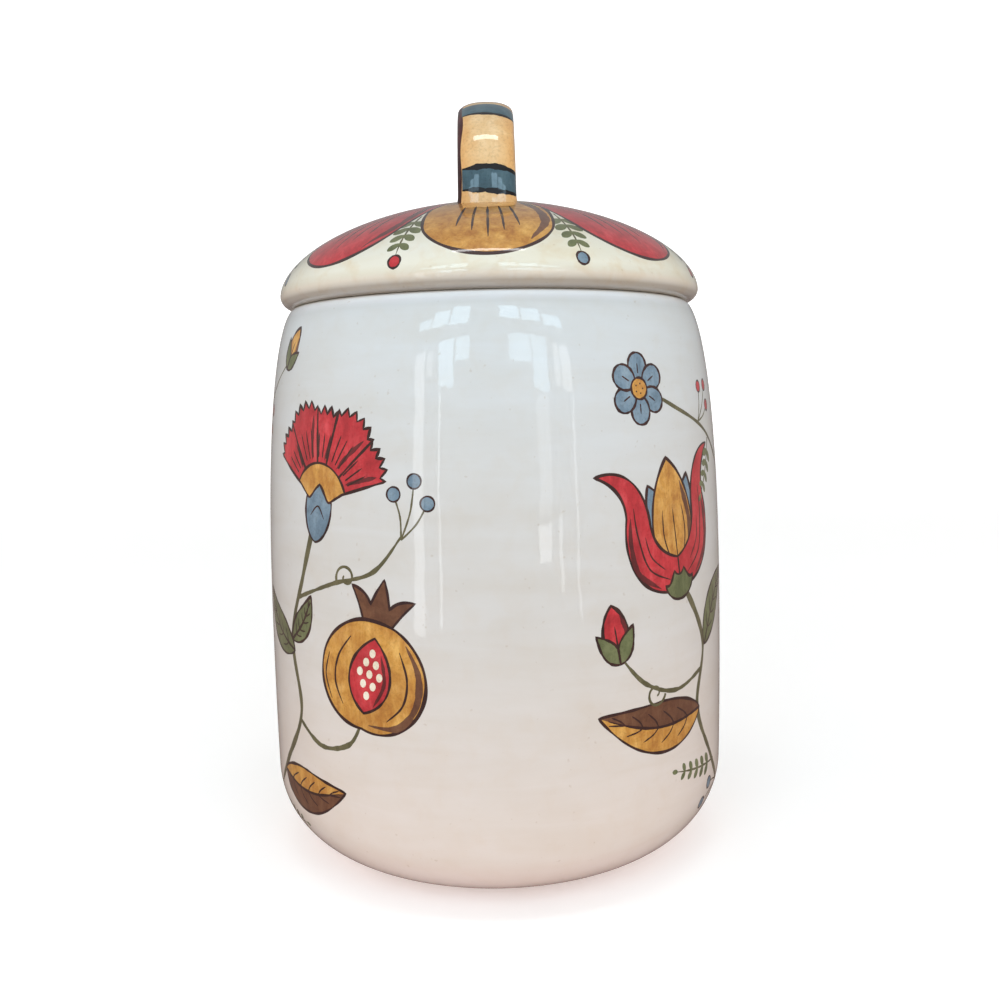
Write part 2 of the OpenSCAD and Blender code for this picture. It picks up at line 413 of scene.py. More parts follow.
class Canvas:
    """Painted shapes in the order they were brushed on, each a paint and its closed loops."""

    def __init__(self):
        self.shapes = []
        self.places = []
        self.strokes = 0

    @contextmanager
    def at(self, x, y, turn=0, size=1, flip=1):
        """Where the next motif stands: its foot, its lean in degrees, its size, and -1 if it is mirrored."""
        self.places.append((x, y, math.radians(turn), size, flip))
        yield
        self.places.pop()

    def sides(self):
        """For a loop that paints the same thing twice: mirrored to the left, then as it is."""
        for flip in (-1, 1):
            with self.at(0, 0, flip=flip):
                yield

    def placed(self, loop):
        """Points of a motif, where they stand on the canvas."""
        loop = np.array(loop, float)
        for x, y, turn, size, flip in reversed(self.places):
            c, s = math.cos(turn) * size, math.sin(turn) * size
            across, up = flip * loop[:, 0], loop[:, 1]
            loop = xy(x + c * across + s * up, y - s * across + c * up)
        return loop

    def fill(self, paint, loop):
        self.shapes.append((paint, [self.placed(loop)]))

    def line(self, paint, points, width, taper=(0.35, 0.35), closed=False, rough=0.16):
        """A brushed line of even points. Taper is the width at each end, as a share of the whole."""
        line = self.placed(points)
        n = len(line)
        t = np.linspace(0, 1, n)
        press = np.ones(n)
        self.strokes += 1
        pressing = np.random.default_rng(self.strokes)
        for k, waves in enumerate((3, 7, 13)):
            press += rough * np.sin(waves * t * 2 * math.pi + pressing.uniform(0, 2 * math.pi)) / (k + 1.5)
        if not closed:
            press *= np.minimum(1, taper[0] + (1 - taper[0]) * t / 0.25)
            press *= np.minimum(1, taper[1] + (1 - taper[1]) * (1 - t) / 0.25)
        side = left_of(line, closed) * (width / 2 * press)[:, None]
        loops = [line + side, (line - side)[::-1]]
        self.shapes.append((paint, loops if closed else [np.vstack(loops)]))

    def stroke(self, paint, points, width, taper=(0.35, 0.35)):
        self.line(paint, curve(points), width, taper)

    def vein(self, points, width, taper=(0.35, 0.35)):
        self.stroke("outline", points, width, taper)

    def ringed(self, paint, loop, width=1.1):
        """A shape filled with paint and gone round with a dark line."""
        self.fill(paint, loop)
        self.line("outline", loop, width, closed=True, rough=0.3)


# ---- motifs: each grows along +Y from its own foot ----


def leaf(cv, length, width, bend, near="olive", far="olive"):
    """A pointed leaf with five pairs of veins, its two halves in their own paints."""
    t = np.linspace(0, 1, max(12, int(length / STEP)))
    rib = xy(length * bend * (np.sin(math.pi * t) / 2 + t * t / 4), t * length)
    half = width / 2 * np.sin(math.pi * t ** 0.82) ** 0.85 * (1 - 0.12 * t)
    out = left_of(rib)
    left, right = rib + out * half[:, None], rib - out * half[:, None]
    cv.fill(near, np.vstack([left, rib[::-1]]))
    cv.fill(far, np.vstack([right, rib[::-1]]))
    cv.line("outline", np.vstack([left, right[-2:0:-1]]), 0.9, closed=True, rough=0.35)
    cv.line("outline", rib[: int(len(rib) * 0.93)], 1.0, (1, 0.3))
    for k in range(5):
        i = int((0.18 + 0.62 * k / 4) * (len(rib) - 1))
        j = min(len(rib) - 1, i + int(0.13 * len(rib)))
        for side in (1, -1):
            end = rib[j] + out[j] * side * half[j] * 0.62
            middle = (rib[i] + end) / 2 - (0, 0.02 * length)
            cv.vein([rib[i], middle, end], 0.6, (0.9, 0.3))


def petal(cv, paint, tip_x, tip_y, base_w, belly, veins):
    """A pointed petal from the origin to its tip, with a shaded side and veins."""
    tip = np.array([tip_x, tip_y], float)
    out = np.array([tip[1], -tip[0]]) / np.hypot(*tip)

    def on(up, across):
        return tip * up + out * across

    cv.ringed(paint, outline_of(
        on(0, -base_w / 2),
        (on(0.25, -belly * 0.95), on(0.75, -belly), on(1, 0)),
        (on(0.75, belly), on(0.25, belly * 0.95), on(0, base_w / 2)),
        (on(-0.03, base_w / 4), on(-0.03, -base_w / 4), on(0, -base_w / 2))))
    shade = [on(0.12, belly * 0.42), on(0.45, belly * 0.66), on(0.8, belly * 0.42)]
    cv.stroke(SHADES[paint], shade, belly * 0.26, (0.15, 0.15))
    for k in range(veins):
        across = (k - (veins - 1) / 2) * belly * 0.42
        cv.vein([on(0.14, across * 0.4), on(0.4, across), on(0.62, across * 0.9)], 0.6, (0.8, 0.25))


def tulip(cv):
    """Two curled outer petals over an ochre heart and blue tips, in a green cup."""
    for side in (-1, 1):
        petal(cv, "blue", side * 7.2, 25, 5, 5.6, veins=1)
    petal(cv, "ochre", 0, 30, 7, 9.4, veins=3)
    for _ in cv.sides():
        cv.ringed("crimson", outline_of(
            (0, -0.5),
            ((13, -1), (17.5, 9), (14.5, 19)), ((14, 24), (17, 27.5), (21, 29.5)),
            ((13, 31), (8.2, 24.5), (8, 17)), ((8, 12), (5, 8.5), (0, 7)),
            ((0, 5), (0, 2), (0, -0.5))), 1.0)
        cv.stroke("maroon", [(7, 1.2), (13, 6.2), (14.2, 13), (13.4, 19)], 1.9, (0.1, 0.1))
        cv.vein([(3.5, 2.4), (9.8, 6.5), (12, 14.5), (12.2, 21)], 0.7)
        cv.vein([(5, 5.2), (8.8, 9), (10, 14)], 0.55, (0.5, 0.25))
    cv.ringed("olive", outline_of(
        (-5.4, 1.4),
        ((-4.6, -4.4), (4.6, -4.4), (5.4, 1.4)), ((3.6, 0.4), (3, 2.6), (1.8, 4)),
        ((1, 2.4), (-1, 2.4), (-1.8, 4)), ((-3, 2.6), (-3.6, 0.4), (-5.4, 1.4))), 0.9)


def pomegranate(cv):
    """A crowned fruit, split open over its seeds."""
    cv.ringed("umber", twofold(
        (-4, 27.5),
        ((-5.4, 30.5), (-7.2, 33.5), (-9.6, 36.5)), ((-6, 36.4), (-4, 35), (-2.9, 33)),
        ((-2, 36), (-1, 38.6), (0, 40.4)), close=((2, 28.6), (-2, 28.6))), 0.9)
    cv.ringed("ochre", twofold(
        (0, -1),
        ((9, -2.5), (17.5, 4.5), (16.5, 14.5)), ((15.8, 22), (9, 27.5), (4.2, 28.5)),
        top=((1.5, 29), (-1.5, 29))), 1.1)
    cv.stroke("umber", [(2, 0.6), (10.5, 2.6), (14.6, 9.5), (13.8, 18), (9, 25)], 2.3, (0.1, 0.1))
    cv.ringed("crimson", twofold((0, 3.4), ((8.6, 7.5), (8.6, 18), (0, 24.4))), 0.9)
    cv.stroke("maroon", [(2.6, 6), (4.8, 13), (2.6, 20.4)], 1.3, (0.1, 0.1))
    for y, count in ((8.4, 1), (11.4, 2), (14.4, 3), (17.4, 2), (20.2, 1)):
        for k in range(count):
            cv.fill("cream", disc((k - (count - 1) / 2) * 3.1, y, 0.95, 1.25))
    for _ in cv.sides():
        cv.vein([(7.2, 3.4), (11, 9), (11, 16), (7.6, 22.8)], 0.8)
    cv.vein([(-11.4, 3.4), (-14.8, 9.4), (-14.4, 16)], 0.6)


def carnation(cv):
    """A fan of toothed petals over a blue calyx."""
    petals, radius, spread, heart = 5, 25, 128, 9.5   # spread in degrees

    def on(angle, reach):
        return reach * math.sin(angle), 2 + reach * math.cos(angle)

    for k in (*range(0, petals, 2), *range(1, petals, 2)):
        middle = math.radians(spread * ((k + 0.5) / petals - 0.5))
        half = math.radians(spread / petals * 0.62)
        reach = radius * (1.0 if k % 2 else 0.93)
        edge = [(0, 2)]
        for tooth in range(11):
            across = tooth / 5 - 1
            bow = 0.9 + 0.1 * math.cos(across * 1.5) ** 0.5
            edge.append(on(middle + half * across, reach * bow - (1.9 if tooth % 2 else 0)))
        cv.ringed("crimson", corners(edge), 0.95)
        shade = [on(middle + half * 0.3, heart * 1.1), on(middle + half * 0.5, reach * 0.6),
                 on(middle + half * 0.72, reach * 0.84)]
        cv.stroke("maroon", shade, 1.5, (0.1, 0.1))
        for across in (-0.45, 0, 0.45):
            angle = middle + half * across
            cv.vein([on(angle, heart * 1.15), on(angle, reach * 0.72)], 0.6, (0.9, 0.25))
    rim = [on(math.radians(a), heart) for a in np.linspace(-spread / 2 - 2, spread / 2 + 2, 25)]
    cv.ringed("ochre", corners([(0, 0)] + rim), 0.85)
    cv.ringed("blue", twofold(
        (-4.6, 3.2), ((-5.6, -1), (-3.6, -6.8), (0, -7.6)),
        close=((3.2, 1.4), (2.6, 4.6), (0, 6.4), (-2.6, 4.6), (-3.2, 1.4))), 0.9)
    cv.vein([(-2.6, -1.5), (0, 1.2), (2.6, -1.5)], 0.6)


def rosette(cv, radius, paint="blue", heart="ochre"):
    """An open flower of six petals, seen from straight above."""
    for k in range(6):
        with cv.at(0, 0, 60 * k):
            cv.ringed(paint, twofold(
                (0, 2), ((-radius * 0.5, radius * 0.35), (-radius * 0.42, radius), (0, radius))), 0.85)
            cv.vein([(0, radius * 0.42), (0, radius * 0.7)], 0.55, (0.8, 0.3))
    cv.ringed(heart, disc(0, 0, radius * 0.3), 0.8)
    for k in range(5):
        a = 2 * math.pi * k / 5
        cv.fill("outline", disc(radius * 0.14 * math.cos(a), radius * 0.14 * math.sin(a), 0.32))


def bud(cv, paint="crimson"):
    """A closed flower between two green leaves."""
    petal(cv, paint, 0, 17, 5, 5.6, veins=1)
    for _ in cv.sides():
        cv.ringed("olive", outline_of(
            (0, -1.5),
            ((5, -1), (6.2, 3.5), (6.6, 9.2)), ((3.4, 7.5), (1, 6), (0, 3.5)),
            ((0, 2), (0, 0), (0, -1.5))), 0.85)


def sprig(cv, length, bend, pairs=5, size=5.2):
    """A thin stem with pairs of small leaves that shrink to its tip."""
    t = np.linspace(0, 1, max(8, int(length / STEP)))
    rib = xy(bend * length * t * t, t * length)
    cv.line("stem", rib, 0.8, (1, 0.4))
    for k in range(pairs + 1):
        t = 0.22 + 0.78 * k / pairs
        grow = size * (1.1 - 0.45 * t)
        lean = math.degrees(math.atan(2 * bend * t))
        for side in ((-1, 1) if k < pairs else (0,)):
            with cv.at(bend * length * t * t, t * length, lean + side * 52):
                half = (-grow * 0.42, grow * 0.3), (-grow * 0.3, grow * 0.9), (0, grow)
                cv.fill("olive", twofold((0, 0), half))


def berries(cv, paint="crimson"):
    """Three berries on stalks."""
    for lean, length in ((-24, 13), (0, 17), (24, 13)):
        with cv.at(0, 0, lean):
            cv.stroke("stem", [(0, 0), (0.9, length / 2), (0, length)], 0.65, (1, 0.7))
            cv.ringed(paint, disc(0, length, 2.1), 0.6)


def tendril(cv):
    """A curl that winds in on itself."""
    radius, turns = 5.0, 1.15
    a = np.linspace(0, turns * 2 * math.pi, int(turns * 40))
    reach = radius * (1 - 0.82 * a / a[-1])
    cv.line("stem", xy(radius - reach * np.cos(a), reach * np.sin(a)), 1.0, (1, 0.6))


# ---- outlines turned about Z ----

ROUND_STEPS = 5   # points round each softened corner
NORMAL_REACH = 0.5   # how far to either side a normal looks along its line


def arc(cx, cz, rx, rz, a0, a1, steps=24):
    """Points round an oval from one angle to another, in degrees up from its +X side."""
    a = np.radians(np.linspace(a0, a1, steps))
    return xy(cx + rx * np.cos(a), cz + rz * np.sin(a))


def dome_arc(rx, rz, z0, steps=90):
    """A dome's outline, from its edge at height z0 up to its top."""
    a = np.linspace(0, math.pi / 2, steps)
    power = 2 / DOME_POWER
    return xy(rx * np.cos(a) ** power, z0 + rz * np.sin(a) ** power)


def dome_z(r):
    """The height of the lid's outside at radius r."""
    return RIM_Z + DOME_H * (1 - (r / RIM_R) ** DOME_POWER) ** (1 / DOME_POWER)


def side_r(z):
    """The radius of the jar's outside at height z, above the bottom corner."""
    below = BELLY_R - BASE_IN * ((BELLY_Z - z) / (BELLY_Z - CORNER_Z)) ** 2
    up = np.clip((z - BELLY_Z) / SIDE_H, 0, 1)
    return np.where(z < BELLY_Z, below, LIP_R + (BELLY_R - LIP_R) * np.sqrt(1 - up ** SIDE_POWER))


def inner_r(z):
    """The radius of the hollow at height z: even with the outside, then drawn in to the mouth."""
    t = np.clip((z - BORE_Z + NECK_BLEND) / NECK_BLEND, 0, 1)
    ease = t * t * (3 - 2 * t)
    return (side_r(z) - JAR_WALL) * (1 - ease) + MOUTH_R * ease


def rounded(points, radius):
    """An outline's inner corners rounded off; its first and last points stay."""
    p = np.array(points, float)
    out = [p[:1]]
    for a, b, c in zip(p, p[1:], p[2:]):
        to_a, to_c = a - b, c - b
        near = min(radius, np.hypot(*to_a) / 2, np.hypot(*to_c) / 2)
        start, end = b + to_a / np.hypot(*to_a) * near, b + to_c / np.hypot(*to_c) * near
        t = np.linspace(0, 1, ROUND_STEPS)[:, None]
        out.append((1 - t) ** 2 * start + 2 * (1 - t) * t * b + t ** 2 * end)
    out.append(p[-1:])
    return np.vstack(out)


def run_along(points):
    """How far each point of a line is from its first, along the line."""
    return np.concatenate([[0], np.cumsum(np.hypot(*np.diff(points, axis=0).T))])


def round_z(a, r, z):
    """Points at an angle a round from the front, by their radius and height."""
    return np.stack([r * np.sin(a), -r * np.cos(a), z + 0 * a], -1)


class Profile:
    """A line of (radius, height) points, looked up by the distance run along it."""

    def __init__(self, points):
        points = np.array(points, float)
        keep = np.diff(run_along(points), prepend=-1) > 1e-6
        self.points = points[keep]
        self.run = run_along(self.points)
        self.length = self.run[-1]

    def at(self, run):
        """The radius and height at a distance along the line."""
        return np.interp(run, self.run, self.points[:, 0]), np.interp(run, self.run, self.points[:, 1])

    def steps(self, longest, turn):
        """Places along the line: at most the longest step apart, and closer where it turns, in degrees."""
        heading = np.unwrap(np.arctan2(*np.diff(self.points, axis=0).T[::-1]))
        bends = np.degrees(np.abs(np.diff(heading, append=heading[-1])))
        load = np.concatenate([[0], np.cumsum(np.diff(self.run) / longest + bends / turn)])
        return np.interp(np.linspace(0, load[-1], int(load[-1]) + 2), load, self.run)

    def outward(self, run):
        """The outward normal's radial and upward parts, for a line that runs up the outside."""
        (r0, z0), (r1, z1) = (self.at(np.clip(run + side, 0, self.length))
                              for side in (-NORMAL_REACH, NORMAL_REACH))
        size = np.maximum(np.hypot(r1 - r0, z1 - z0), 1e-9)
        return (z1 - z0) / size, (r0 - r1) / size


# ---- skins: a canvas laid on a surface ----

COLUMNS = 180          # columns round a turned piece
WELD = 2e-3            # points closer than this are one
EDGE_CLEAR = 0.8       # no loose point of a canvas lies closer to a painted edge than this


def add_mesh(name, points, faces, materials):
    """A smooth mesh object of points in metres."""
    mesh = bpy.data.meshes.new(name)
    mesh.from_pydata(points.tolist(), [], faces)
    for material in materials:
        mesh.materials.append(material)
    mesh.polygons.foreach_set("use_smooth", [True] * len(faces))
    piece = bpy.data.objects.new(name, mesh)
    bpy.context.collection.objects.link(piece)
    return piece


def tube_faces(rows, columns):
    """Rows of quads round a tube, from its first ring of points to its last."""
    faces = []
    for i in range(0, (rows - 1) * columns, columns):
        for j in range(columns):
            k = (j + 1) % columns
            faces.append((i + j, i + k, i + columns + k, i + columns + j))
    return faces


def sheet(across, up):
    """A rectangular canvas: its border, and the points inside it, from the places along its sides."""
    border = np.vstack([xy(across[:-1], 0), xy(across[-1], up[:-1]),
                        xy(across[:0:-1], up[-1]), xy(0, up[:0:-1])])
    return border, np.array([(x, y) for x in across[1:-1] for y in up[1:-1]])


def ring(radius, count):
    """Points round a circle on a canvas, clockwise from +Y."""
    a = np.arange(count) * 2 * math.pi / count
    return radius * xy(np.sin(a), np.cos(a))


def thinned(points, loops, clear):
    """The points that stand clear of every painted edge."""
    taken = set()
    for loop in loops:
        cells = np.floor(loop / clear).astype(int)
        for dx in (-1, 0, 1):
            for dy in (-1, 0, 1):
                taken.update(map(tuple, cells + (dx, dy)))
    cells = np.floor(points / clear).astype(int)
    return points[[tuple(c) not in taken for c in cells]]


def winding(points, loops):
    """How many times a shape's loops go round each point."""
    total = np.zeros(len(points))
    for loop in loops:
        x, y = points[:, :1], points[:, 1:]
        ax, ay = loop[:, 0], loop[:, 1]
        bx, by = np.roll(ax, -1), np.roll(ay, -1)
        left = (bx - ax) * (y - ay) - (x - ax) * (by - ay)
        total += ((ay <= y) & (by > y) & (left > 0)).sum(1) - ((ay > y) & (by <= y) & (left < 0)).sum(1)
    return total


def lay_out(canvas, border, grid, base):
    """Triangles of a canvas, cut along every painted edge, and the paint of each."""
    loops = [loop for _, shape in canvas.shapes for loop in shape]
    grid = thinned(grid, loops, EDGE_CLEAR)
    points, edges = [border], [(i, (i + 1) % len(border)) for i in range(len(border))]
    count = len(border)
    for loop in loops:
        points.append(loop)
        edges += [(count + i, count + (i + 1) % len(loop)) for i in range(len(loop))]
        count += len(loop)
    points.append(grid)
    flat = [Vector(p) for p in np.vstack(points)]
    verts, _, faces, *_ = geometry.delaunay_2d_cdt(flat, edges, [], 0, 1e-5, False)
    verts = np.array([tuple(v) for v in verts])
    faces = np.array([tuple(f) for f in faces])
    middle = verts[faces].mean(1)
    paints = np.full(len(faces), base, dtype=object)
    for paint, shape in canvas.shapes:
        low = np.min([loop.min(0) for loop in shape], 0)
        high = np.max([loop.max(0) for loop in shape], 0)
        near = np.flatnonzero(((middle >= low) & (middle <= high)).all(1))
        if len(near):
            paints[near[winding(middle[near], shape) != 0]] = paint
    return verts, faces, paints


class Skin:
    """Faces gathered from patches and welded into one closed mesh."""

    def __init__(self):
        self.points, self.normals, self.faces, self.paints = [], [], [], []
        self.count = 0

    def add(self, points, faces, paints, normals=None):
        """A patch of points in mm, its faces, the paint of each, and normals if the points have their own."""
        self.points.append(points)
        self.normals.append(np.zeros_like(points) if normals is None else normals)
        self.faces += [tuple(i + self.count for i in face) for face in faces]
        self.paints += list(paints)
        self.count += len(points)

    def turned(self, outline, paint):
        """A patch that turns an outline about Z. paint is a name, or one for each step of the outline."""
        steps = len(outline) - 1
        a = np.arange(COLUMNS) * 2 * math.pi / COLUMNS
        points = round_z(a, outline[:, :1], outline[:, 1:]).reshape(-1, 3)
        names = [paint] * steps if isinstance(paint, str) else paint
        self.add(points, tube_faces(steps + 1, COLUMNS), np.repeat(names, COLUMNS).tolist())

    def build(self, name, sharp=40):
        """The welded mesh, with hard edges where faces turn more than sharp degrees."""
        points, normals = np.vstack(self.points), np.vstack(self.normals)
        tree = kdtree.KDTree(len(points))
        for i, point in enumerate(points):
            tree.insert(point, i)
        tree.balance()
        keeper = [min(i for _, i, _ in tree.find_range(point, WELD)) for point in points]
        first, merged = np.unique(keeper, return_inverse=True)
        faces, paints, seen = [], [], set()
        for face, paint in zip(self.faces, self.paints):
            face = [int(merged[i]) for i in face]
            face = [v for v, before in zip(face, face[-1:] + face[:-1]) if v != before]
            key = tuple(sorted(face))
            if len(set(face)) == len(face) > 2 and key not in seen:
                seen.add(key)
                faces.append(face)
                paints.append(paint)
        names = sorted(set(paints))
        piece = add_mesh(name, points[first] * MM, faces, [PAINTS[paint] for paint in names])
        mesh = piece.data
        mesh.polygons.foreach_set("material_index", [names.index(paint) for paint in paints])
        mesh.update()
        mesh.set_sharp_from_angle(angle=math.radians(sharp))
        if np.any(normals):
            mesh.normals_split_custom_set_from_vertices(normals[first].tolist())
        return piece


# ---- the jar ----

WALL_R = 88.0                            # the canvas's width is the way round at this radius
WALL_AROUND = 2 * math.pi * WALL_R
foot_angle = math.degrees(math.acos(FOOT_OUT / CORNER_R))
waist_z = np.linspace(CORNER_Z, BELLY_Z, 16)
side_a = np.radians(np.linspace(0, 90, 120))
wall = Profile(np.vstack([
    arc(CORNER_MID_R, CORNER_Z, CORNER_R, CORNER_R, -foot_angle, 0, 40),
    xy(side_r(waist_z), waist_z),
    xy(LIP_R + (BELLY_R - LIP_R) * np.cos(side_a), BELLY_Z + SIDE_H * np.sin(side_a) ** (2 / SIDE_POWER)),
    [(MOUTH_R + LIP_EDGE, JAR_H)]]))


def on_wall(degrees, height):
    """The canvas place at degrees round from the front and a height above the table."""
    return math.radians(degrees) * WALL_R, CORNER_R * math.radians(foot_angle) + height - CORNER_Z


def vine(cv, places, width, taper):
    """A stem on the wall through places, each the degrees round from the front and the height."""
    cv.line("stem", curve([on_wall(*place) for place in places]), width, taper, rough=0.2)


# The wall's decoration, in rows of (vine, places, width, taper) or (motif, place, lean in degrees, size,
# the motif's own values). On the left of the bare front is a carnation over a pomegranate on one stem.
LEFT_SIDE = (
    (vine, ((-76, 20), (-62, 42), (-52, 64), (-55, 90), (-49, 114), (-43, 138)), 2.3, (0.5, 1)),
    (vine, ((-53, 62), (-44, 55), (-35, 58), (-31, 67)), 1.7, (1, 0.5)),
    (vine, ((-51, 106), (-38, 113), (-27, 118), (-20, 130)), 1.4, (1, 0.5)),
    (leaf, (-64, 38), 84, 1, 42, 17, 0.2, "ochre", "umber"),
    (leaf, (-54, 86), -52, 1, 34, 14, -0.22),
    (leaf, (-55, 90), 36, 1, 22, 10, 0.2),
    (carnation, (-43, 137), 8, 1.42),
    (pomegranate, (-31, 66), 12, 1.26),
    (berries, (-20, 129), 14, 1.15, "blue"),
    (sprig, (-73, 24), 110, 1, 26, -0.2),
    (tendril, (-37, 114), -20, 0.9))
# On the right is a tall tulip, with a rosette over it and a long leaf under it.
RIGHT_SIDE = (
    (vine, ((74, 18), (62, 40), (53, 62), (56, 86), (46, 110)), 2.3, (0.5, 1)),
    (vine, ((55, 76), (44, 72), (34, 77), (27, 88)), 1.5, (1, 0.5)),
    (vine, ((109, 98), (97, 106), (86, 118), (78, 140), (64, 159), (46, 170), (36, 176)), 1.5, (1, 0.7)),
    (leaf, (54, 62), -80, 1, 50, 19, -0.2, "ochre", "umber"),
    (leaf, (57, 84), 50, 1, 36, 14, -0.22),
    (tulip, (46, 108), -8, 1.5),
    (bud, (27, 87), -10, 1.1),
    (rosette, (35, 176), 0, 1, 12),
    (sprig, (64, 158), -160, 1, 22, 0.15, 4),
    (berries, (58, 164), 40, 1),
    (sprig, (64, 38), -88, 1, 30, 0.1),
    (tendril, (40, 72), 190, 0.95),
    (berries, (70, 26), -98, 1.1, "blue"))
# Further round there is a carnation to the right and a tulip to the left.
FLANKS = (
    (vine, ((124, 22), (112, 50), (106, 78), (110, 104), (104, 128)), 2.1, (0.5, 1)),
    (vine, ((108, 72), (96, 78), (90, 92)), 1.4, (1, 0.5)),
    (carnation, (104, 127), -8, 1.3),
    (leaf, (110, 96), 60, 1, 36, 15, -0.22, "ochre", "olive"),
    (leaf, (113, 46), -70, 1, 36, 15, 0.25),
    (bud, (90, 91), -10, 1.05, "ochre"),
    (sprig, (118, 36), 72, 1, 28, -0.2),
    (vine, ((158, 138), (146, 152), (132, 167), (116, 182)), 1.2, (1, 0.6)),
    (rosette, (116, 182), 0, 1, 10),
    (vine, ((-126, 20), (-112, 42), (-104, 66), (-108, 90), (-106, 108)), 2.1, (0.5, 1)),
    (vine, ((-107, 82), (-95, 88), (-86, 102), (-82, 126), (-84, 150), (-74, 174), (-60, 188)), 1.4,
     (1, 0.5)),
    (tulip, (-106, 107), -4, 1.35),
    (bud, (-60, 187), 30, 0.9, "ochre"),
    (berries, (-82, 163), 62, 1),
    (sprig, (-84, 108), 118, 1, 18, 0.1, 3),
    (leaf, (-105, 70), 76, 1, 32, 14, 0.22, "olive", "ochre"),
    (leaf, (-106, 78), -66, 1, 34, 14, -0.22),
    (sprig, (-118, 32), -78, 1, 28, 0.2),
    (vine, ((-158, 138), (-146, 152), (-132, 166), (-118, 180)), 1.2, (1, 0.6)),
    (rosette, (-118, 180), 0, 1, 10, "ochre", "crimson"))


def back_side():
    """Rows for the back: a wide tulip on an upright stem between two pomegranates."""
    rows = [(vine, ((180, 22), (180, 70), (180, 116)), 2.3, (0.5, 1))]
    for side in (1, -1):
        low = [(180 + side * d, z) for d, z in ((0, 50), (-10, 62), (-24, 66), (-34, 76), (-34, 88))]
        high = [(180 + side * d, z) for d, z in ((-1, 100), (-12, 118), (-22, 138), (-25, 154))]
        rows += [
            (vine, low, 1.6, (1, 0.5)),
            (vine, high, 1.3, (1, 0.5)),
            (pomegranate, (180 - side * 34, 87), -side * 4, 1.02),
            (leaf, (180, 58), -side * 46, 1, 26, 11, side * 0.2, *("ochre", "umber")[::side]),
            (leaf, (180, 84), -side * 56, 1, 24, 11, -side * 0.2),
            (sprig, (180 - side * 2, 32), -side * 74, 1, 32, side * 0.22),
            (berries, (180 - side * 25, 153), side * 8, 1.05, "blue")]
    return rows + [
        (tulip, (180, 115), 0, 1.55),
        (vine, ((180, 158), (180, 178)), 1.2, (1, 1)),
        (rosette, (180, 184), 0, 1, 10, "ochre", "crimson")]


def paint_wall(cv, rows):
    """Brush rows of decoration onto the wall, in their order."""
    for motif, place, *how in rows:
        if motif is vine:
            vine(cv, place, *how)
            continue
        lean, size, *own = how
        with cv.at(*on_wall(*place), lean, size):
            motif(cv, *own)


def wall_canvas():
    """The jar's decoration, on a canvas that starts and ends at the bare front."""
    cv = Canvas()
    for rows in (LEFT_SIDE, RIGHT_SIDE, FLANKS, back_side()):
        paint_wall(cv, rows)
    for _, shape in cv.shapes:
        if shape[0][:, 0].mean() < 0:
            for loop in shape:
                loop[:, 0] += WALL_AROUND
    return cv


def jar_skin():
    """The painted wall, the lip and hollow inside it, and the foot ring under it."""
    skin = Skin()
    border, grid = sheet(np.linspace(0, WALL_AROUND, COLUMNS + 1), wall.steps(3.2, 5))
    verts, faces, paints = lay_out(wall_canvas(), border, grid, "jar")
    a = verts[:, 0] / WALL_R
    r, z = wall.at(verts[:, 1])
    out, rise = wall.outward(verts[:, 1])
    skin.add(round_z(a, r, z), faces, paints, round_z(a, out, rise))

    inner_corner_r = CORNER_R - JAR_WALL
    inner_corner_z = FLOOR_Z + inner_corner_r
    inner_z = np.linspace(BORE_Z, inner_corner_z, 50)
    inner_mid_r = float(inner_r(inner_corner_z)) - inner_corner_r
    skin.turned(np.vstack([
        [(MOUTH_R + LIP_EDGE, JAR_H)],
        arc(MOUTH_R + LIP_EDGE, JAR_H - LIP_EDGE, LIP_EDGE, LIP_EDGE, 90, 180, 6)[1:],
        xy(inner_r(inner_z), inner_z),
        arc(inner_mid_r, inner_corner_z, inner_corner_r, inner_corner_r, 0, -90, 16)[1:],
        xy((40, 20, 0), FLOOR_Z)]), "jar")
    foot = rounded([
        wall.points[0], (FOOT_R, 0), (FOOT_R - FOOT_W, 0), (FOOT_R - FOOT_W - FOOT_HOLLOW, FOOT_HOLLOW),
        (FOOT_R - FOOT_W - 3 * FOOT_HOLLOW, FOOT_HOLLOW)], FOOT_SOFT)
    under = np.vstack([foot, xy((30, 15, 0), FOOT_HOLLOW)])[::-1]
    low = np.maximum(under[1:, 1], under[:-1, 1]) < FOOT_HOLLOW / 2
    skin.turned(under, np.where(low, "clay", "jar").tolist())
    return skin.build("jar_painted")


# ---- the lid ----

lid_line = Profile(np.vstack([
    arc(RIM_R - RIM_IN, RIM_Z, RIM_IN, RIM_RISE, -90, 0),
    dome_arc(RIM_R, DOME_H, RIM_Z)]))
LID_REACH = lid_line.length              # from the top of the dome to the seat, along the outside
LID_POINTS = 2.1                         # points round each ring of the dome, for each mm of its radius


def lid_petal(cv, paint):
    """One broad petal of the lid's flower, from its middle out to near the rim."""
    shade = SHADES[paint]
    cv.ringed(paint, twofold(
        (-3, 6), ((-7, 18), (-20.5, 40), (-20.5, 60)), ((-20.5, 71), (-10, 78), (0, 78)),
        close=((1, 5.4), (-1, 5.4))), 1.3)
    cv.stroke(shade, [(8.2, 30), (15.6, 47), (17.8, 60), (13.4, 71)], 3.2, (0.1, 0.1))
    cv.stroke(shade, [(-2, 12), (-6, 24), (-10.5, 36)], 2.2, (0.3, 0.1))
    for across in (-9, -4.6, 0, 4.6, 9):
        reach = 71 - abs(across) * 0.8
        cv.vein([(across * 0.75, 45), (across * 0.95, 56), (across * 1.1, reach)], 0.9, (0.2, 0.2))


